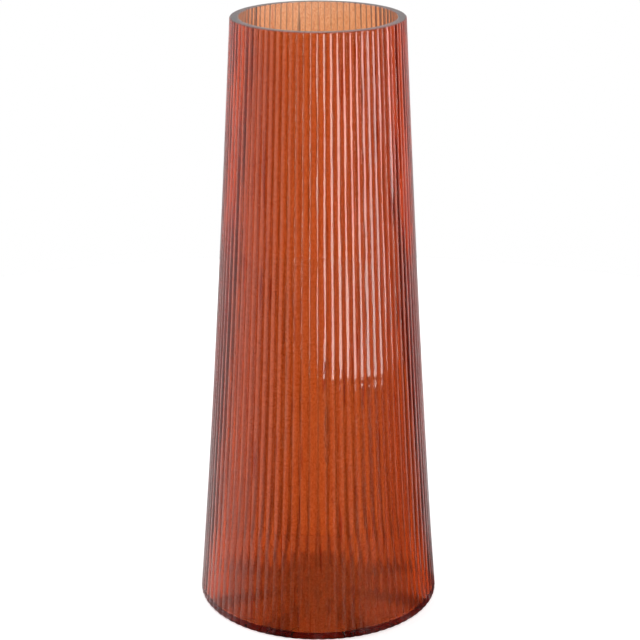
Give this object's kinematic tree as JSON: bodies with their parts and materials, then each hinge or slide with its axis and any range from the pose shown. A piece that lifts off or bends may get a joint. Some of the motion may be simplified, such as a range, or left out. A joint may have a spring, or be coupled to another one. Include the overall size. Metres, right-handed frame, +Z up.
{
  "type": "reeded glass vase",
  "caption": "Tall tapering vase of burnt orange cased glass, reeded outside from lip to foot and lined with a thin, finely grained paler layer, open at a flat-cut lip and standing free on a thin flat floor.",
  "frame": {"origin": "centre of the foot, on the surface that the vase stands on", "axes": "+Z up along the vase's axis of turning, from the foot to the mouth; X and Y lie in the plane of the foot"},
  "size_m": [0.1464, 0.1464, 0.36],
  "materials": {
    "casing_glass": "fire-polished burnt orange transparent glass",
    "lining_glass": "thin pale orange glass, finely grained inside"
  },
  "bodies": {
    "root": {"reeded_casing": "casing_glass", "colour_lining": "lining_glass"}
  },
  "joints": []
}
